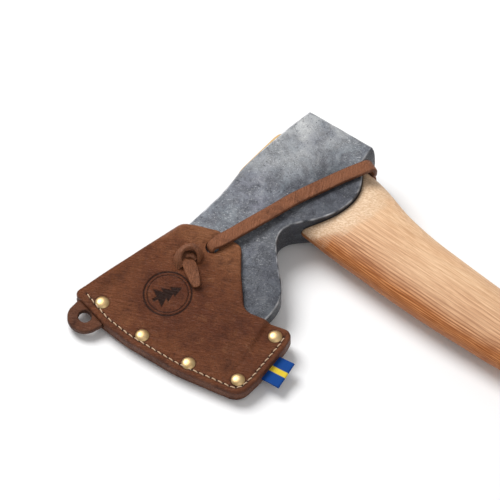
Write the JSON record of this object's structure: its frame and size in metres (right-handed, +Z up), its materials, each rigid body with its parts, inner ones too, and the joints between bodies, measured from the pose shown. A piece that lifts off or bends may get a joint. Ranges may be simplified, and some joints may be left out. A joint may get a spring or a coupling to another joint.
{
  "type": "felling axe",
  "caption": "Felling axe with a forged head, a curved wooden handle, and a riveted leather edge sheath that straps round the neck and slides off the bit.",
  "frame": {"origin": "middle of the footprint on the surface that the axe lies on, under its lower strap arm", "axes": "+X along the handle towards its end, +Y from the bit towards the poll, +Z up from the lower cheek to the upper cheek"},
  "size_m": [0.7454, 0.2134, 0.0396],
  "materials": {
    "forged_steel": "forged blue-grey scale, oiled, with bright rubbed rims",
    "ring_steel": "plain turned steel",
    "ash_wood": "oiled ash with fine long grain",
    "wedge_wood": "dry hardwood end grain",
    "sheath_leather": "oiled brown vegetable-tanned leather, satin, with creases",
    "edge_leather": "cut leather edge, burnished",
    "strap_leather": "oiled brown leather lace, satin",
    "brass": "satin brass",
    "thread": "waxed cream thread",
    "woven_tag": "woven ribbon, blue with a plain yellow band"
  },
  "bodies": {
    "axe": {"axe_head": "forged_steel", "handle": "ash_wood", "wood_wedge": "wedge_wood", "ring_wedge": "ring_steel"},
    "sheath": {"sheath_leather": "sheath_leather", "edge_welt": "edge_leather", "hanging_tab": "edge_leather", "rivet_cap_1": "brass", "rivet_cap_2": "brass", "rivet_cap_3": "brass", "rivet_cap_4": "brass", "rivet_cap_5": "brass", "rivet_base_1": "brass", "rivet_base_2": "brass", "rivet_base_3": "brass", "rivet_base_4": "brass", "rivet_base_5": "brass", "front_stitching": "thread", "back_stitching": "thread", "strap_knot": "strap_leather", "label_tag": "woven_tag"},
    "strap_loop": {"strap": "strap_leather"}
  },
  "joints": [
    {"name": "sheath_slide", "type": "slide", "parent": "axe", "child": "sheath", "axis": [-0.3568, -0.9342, 0], "range_m": [0, 0.11]},
    {"name": "strap_swing", "type": "hinge", "parent": "sheath", "child": "strap_loop", "pos_m": [-0.31587, -0.0107, 0.0198], "axis": [0, 0, 1], "range_deg": [0, 125.5], "deforming": ["strap"]}
  ],
  "couplings": [
    {"joint": "strap_swing", "follows": "sheath_slide", "rad_per_m": 19.8}
  ]
}
